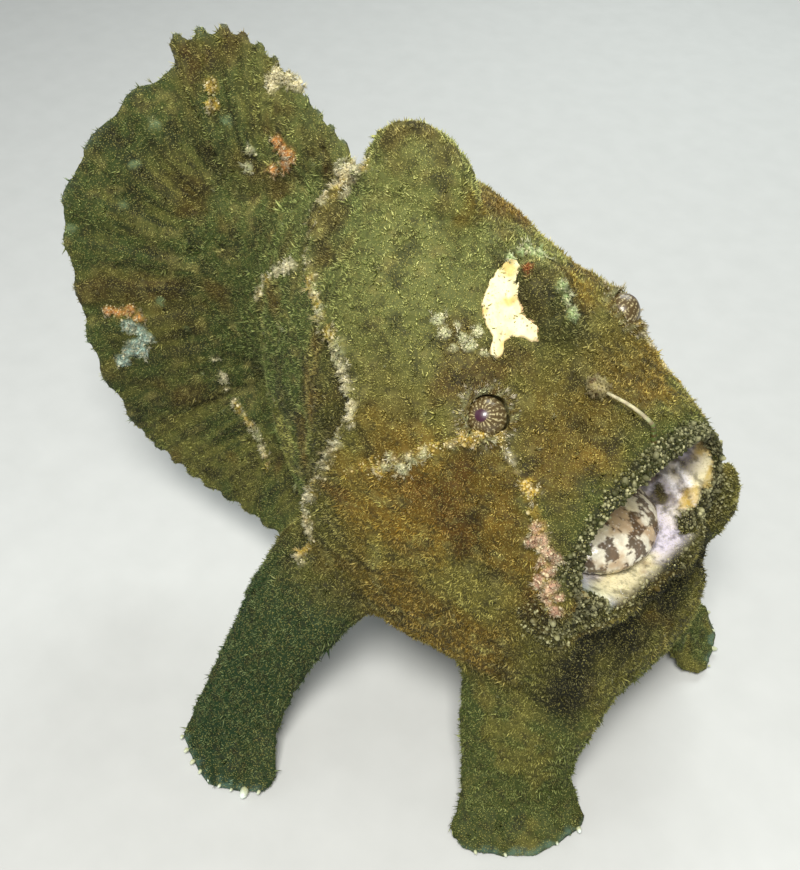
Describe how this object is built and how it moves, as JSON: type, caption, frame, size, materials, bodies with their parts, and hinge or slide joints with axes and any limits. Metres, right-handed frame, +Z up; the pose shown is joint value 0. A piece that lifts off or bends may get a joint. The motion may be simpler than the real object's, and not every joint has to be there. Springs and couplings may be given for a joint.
{
  "type": "frogfish model",
  "caption": "Still life-size frogfish standing on its paired fins with its mouth wide open, tail fin bent to one side and all its fins spread.",
  "frame": {"origin": "on the floor, under the middle of the bounding box", "axes": "+X ahead along the body, +Y to the fish's left, +Z up"},
  "size_m": [0.2396, 0.242, 0.2344],
  "materials": {
    "skin": "matt olive and brown skin, velvety with tiny pale spicules",
    "fin": "matt dark olive membrane over raised rays",
    "lure": "dark red-brown filament with a pale fleshy tip",
    "mouth_lining": "wet cream flesh with brown mottling",
    "gills": "wet pale lilac gill arches",
    "eye": "wet eye with fine spokes round a small dark pupil"
  },
  "bodies": {
    "root": {"head": "skin", "lower_jaw": "skin", "trunk": "skin", "tail": "skin", "second_dorsal_spine": "skin", "third_dorsal_spine": "skin", "dorsal_fin": "fin", "anal_fin": "fin", "caudal_fin": "fin", "pectoral_fin_right": "skin", "pectoral_fin_left": "skin", "pelvic_fin_right": "skin", "pelvic_fin_left": "skin", "lure": "lure", "tongue": "mouth_lining", "gill_arches": "gills", "eye_right": "eye", "eye_left": "eye"}
  },
  "joints": []
}
